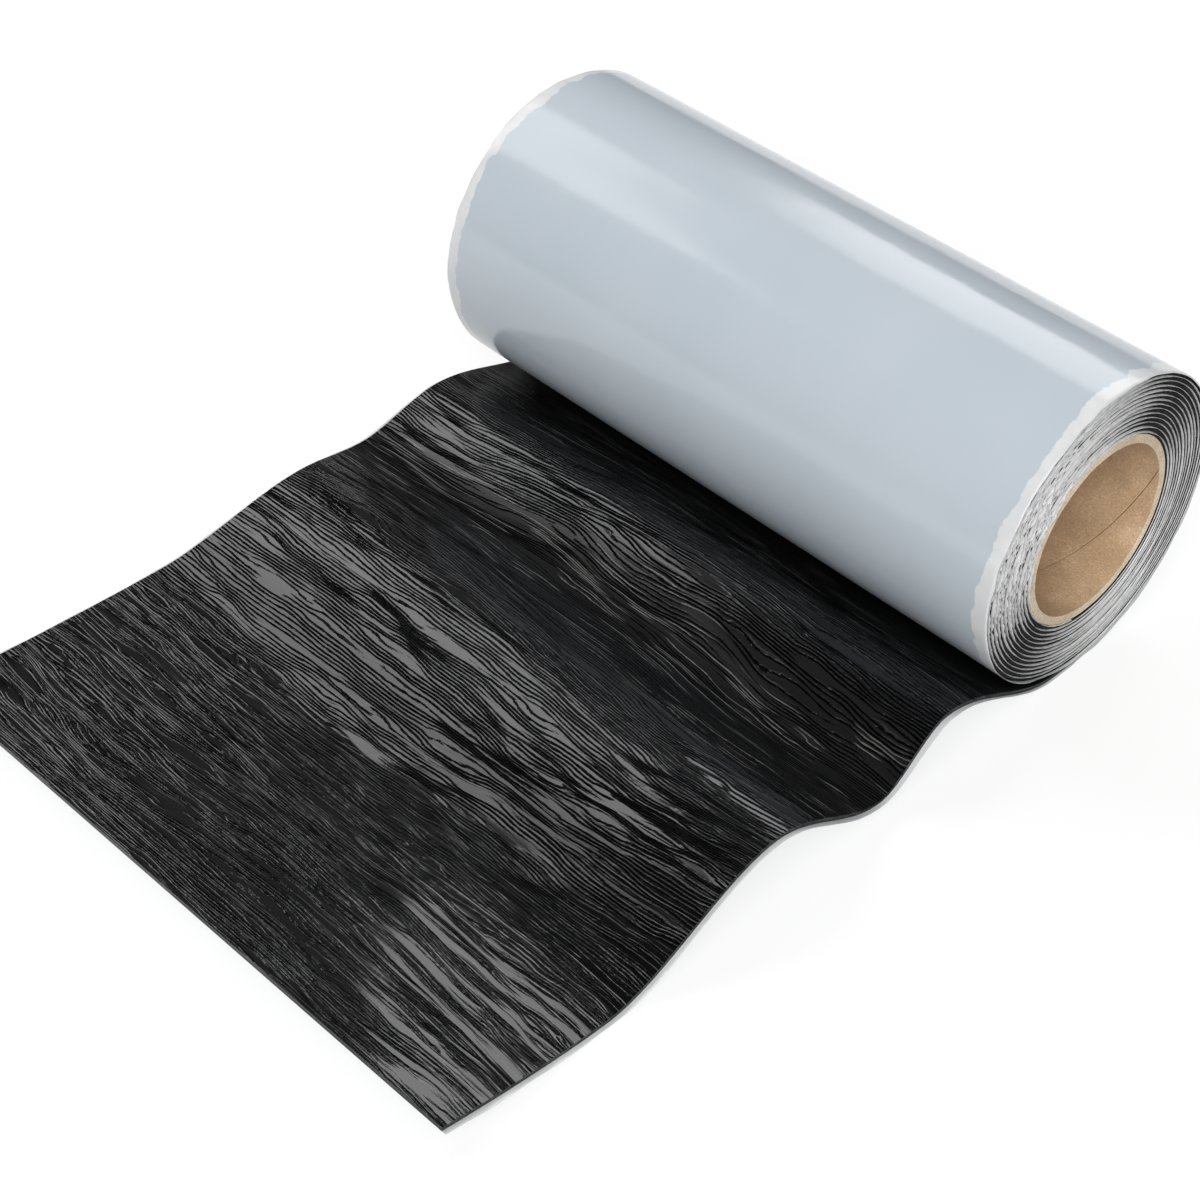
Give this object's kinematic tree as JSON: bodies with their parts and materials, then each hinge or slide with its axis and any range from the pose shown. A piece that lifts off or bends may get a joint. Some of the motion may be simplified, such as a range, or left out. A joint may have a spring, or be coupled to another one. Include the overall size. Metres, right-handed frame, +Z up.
{
  "type": "roll of lead-free flashing",
  "caption": "Roll of black flexible lead-free flashing on a cardboard core, pale release film outwards, with its free end unrolled flat in slack waves.",
  "frame": {"origin": "middle of the core's bore, on the roll's axis", "axes": "+X along the roll's axis, the unrolled end towards -Y, +Z up"},
  "size_m": [0.305, 0.412, 0.1379],
  "materials": {
    "cardboard": "matte brown spiral-wound board with a paler cut end",
    "flashing": "glossy black, closely creased along the roll's axis",
    "film": "smooth glossy pale blue-grey release film with clear whitish margins"
  },
  "bodies": {
    "root": {"core_tube": "cardboard", "flashing": "flashing", "release_film": "film"}
  },
  "joints": []
}
